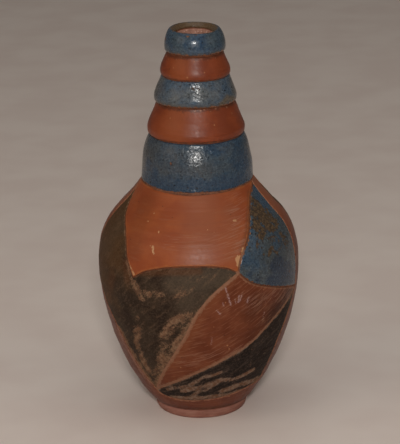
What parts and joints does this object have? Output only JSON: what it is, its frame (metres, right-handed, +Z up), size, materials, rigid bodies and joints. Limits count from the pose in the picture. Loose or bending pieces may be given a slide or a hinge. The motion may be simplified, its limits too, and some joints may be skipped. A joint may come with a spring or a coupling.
{
  "type": "pottery bottle vase",
  "caption": "Hollow thrown clay bottle vase with an egg-shaped body, a neck of stacked swelling rings under a rolled rim, and slip and glaze coats in leaf-shaped panels.",
  "frame": {"origin": "middle of the foot, on the plane that the vase stands on", "axes": "+Z up the axis of the vase towards the mouth; the front of the decoration faces -Y; +X is to the right seen from the front"},
  "size_m": [0.1282, 0.1282, 0.25],
  "materials": {
    "bare_clay": "unglazed matt pinkish terracotta",
    "red_slip": "burnished satin",
    "dark_slip": "matt, worn in streaks to a pinkish tan",
    "blue_glaze": "glossy, speckled and mottled"
  },
  "bodies": {
    "root": {"clay_body": "bare_clay", "rim_glaze": "blue_glaze", "upper_red_ring_slip": "red_slip", "middle_blue_ring_glaze": "blue_glaze", "lower_red_ring_slip": "red_slip", "collar_blue_glaze": "blue_glaze", "belly_red_ground_slip": "red_slip", "front_shoulder_red_slip": "red_slip", "front_blue_panel_glaze": "blue_glaze", "front_dark_leaf_slip": "dark_slip", "front_red_leaf_slip": "red_slip", "front_low_dark_slip": "dark_slip", "back_shoulder_red_slip": "red_slip", "back_blue_panel_glaze": "blue_glaze", "back_dark_leaf_slip": "dark_slip", "back_red_leaf_slip": "red_slip", "back_low_dark_slip": "dark_slip"}
  },
  "joints": []
}
